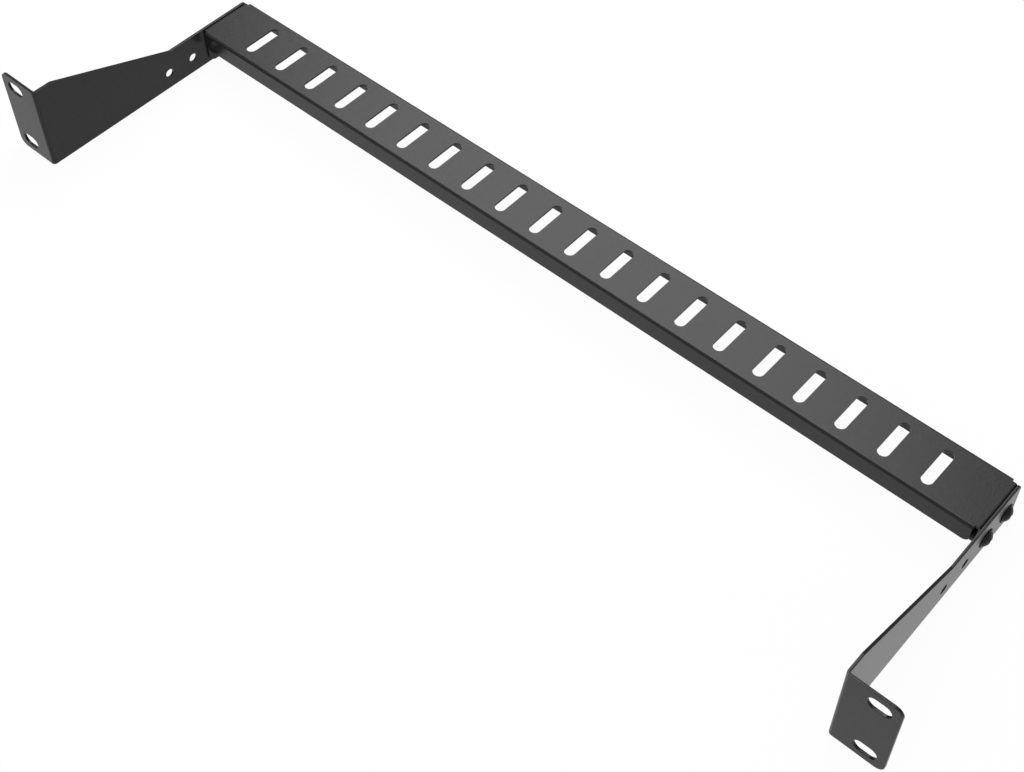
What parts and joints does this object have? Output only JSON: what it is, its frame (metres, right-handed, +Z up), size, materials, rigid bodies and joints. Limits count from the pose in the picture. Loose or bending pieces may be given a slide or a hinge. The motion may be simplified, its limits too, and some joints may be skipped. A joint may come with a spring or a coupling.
{
  "type": "cable management bar",
  "caption": "Folded cable lacing bar with a row of tie slots, held behind the rack rails by ear brackets whose arms have spare holes for other depths.",
  "frame": {"origin": "middle of the four rack slots, on the ears' rear faces, which lie on the rack's rails", "axes": "+X along the bar to the right, +Y back into the rack, +Z up"},
  "size_m": [0.4826, 0.1253, 0.0444],
  "materials": {
    "bar_coat": "fine textured black powder coat, satin",
    "bracket_coat": "fine textured black powder coat, satin",
    "screw_black": "black zinc plate",
    "nut_plate": "black zinc plate"
  },
  "bodies": {
    "root": {"lacing_bar": "bar_coat", "left_bracket": "bracket_coat", "right_bracket": "bracket_coat", "left_front_screw": "screw_black", "left_front_clinch_nut": "nut_plate", "left_rear_screw": "screw_black", "left_rear_clinch_nut": "nut_plate", "right_front_screw": "screw_black", "right_front_clinch_nut": "nut_plate", "right_rear_screw": "screw_black", "right_rear_clinch_nut": "nut_plate"}
  },
  "joints": []
}
